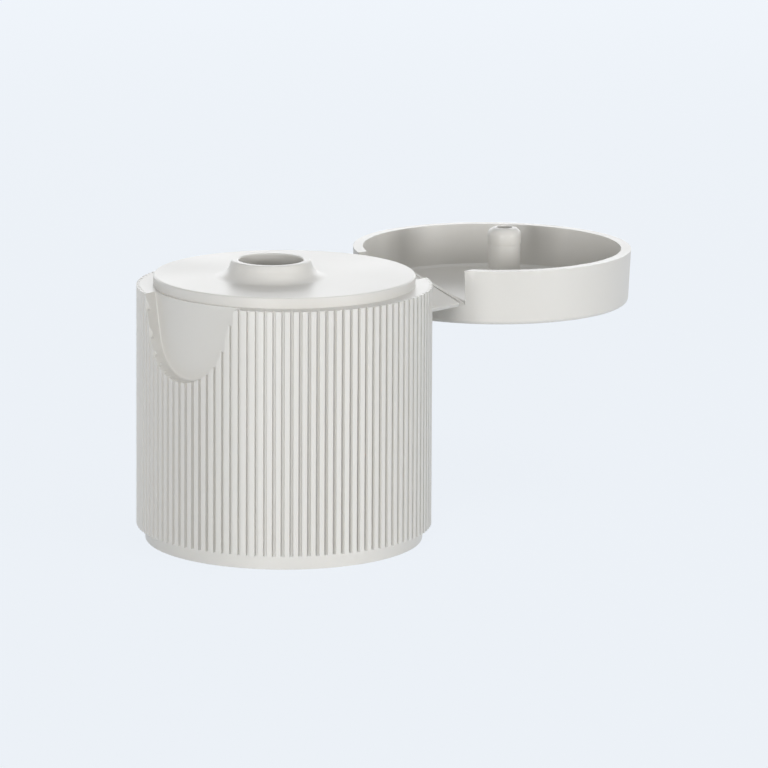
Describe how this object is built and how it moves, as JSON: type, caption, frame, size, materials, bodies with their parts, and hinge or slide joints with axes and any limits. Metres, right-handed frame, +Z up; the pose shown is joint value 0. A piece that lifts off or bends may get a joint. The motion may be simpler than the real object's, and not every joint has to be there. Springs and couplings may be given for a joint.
{
  "type": "flip top cap",
  "caption": "Flip top dispensing cap: ribbed screw skirt, raised spout, thumb recess and a round lid on a snap hinge with a sealing pin, shown open.",
  "frame": {"origin": "centre of the lower face of the base ring, on the axis of the skirt", "axes": "+Z up along the skirt axis towards the spout, +Y towards the hinge and the open lid, +X to the right when looking along +Y; the thumb recess faces -Y"},
  "size_m": [0.0282, 0.0577, 0.0271],
  "materials": {
    "polypropylene": "satin"
  },
  "bodies": {
    "skirt": {"cap_body": "polypropylene"},
    "lid": {"flip_lid": "polypropylene"},
    "arm_left": {"hinge_arm_left": "polypropylene"},
    "arm_right": {"hinge_arm_right": "polypropylene"}
  },
  "joints": [
    {"name": "lid_hinge", "type": "hinge", "parent": "skirt", "child": "lid", "pos_m": [0, 0.01487, 0.02442], "axis": [1, 0, 0], "range_deg": [0, 180]},
    {"name": "arm_right_film", "type": "hinge", "parent": "skirt", "child": "arm_right", "pos_m": [0.0013, 0.01487, 0.02442], "axis": [0.7885, -0.3792, -0.4843], "range_deg": [0, 104.5]},
    {"name": "arm_left_film", "type": "hinge", "parent": "skirt", "child": "arm_left", "pos_m": [-0.0013, 0.01487, 0.02442], "axis": [0.7885, 0.3792, 0.4843], "range_deg": [0, 104.5]}
  ],
  "couplings": [
    {"joint": "arm_right_film", "follows": "lid_hinge", "ratio": 0.58},
    {"joint": "arm_left_film", "follows": "lid_hinge", "ratio": 0.58}
  ]
}
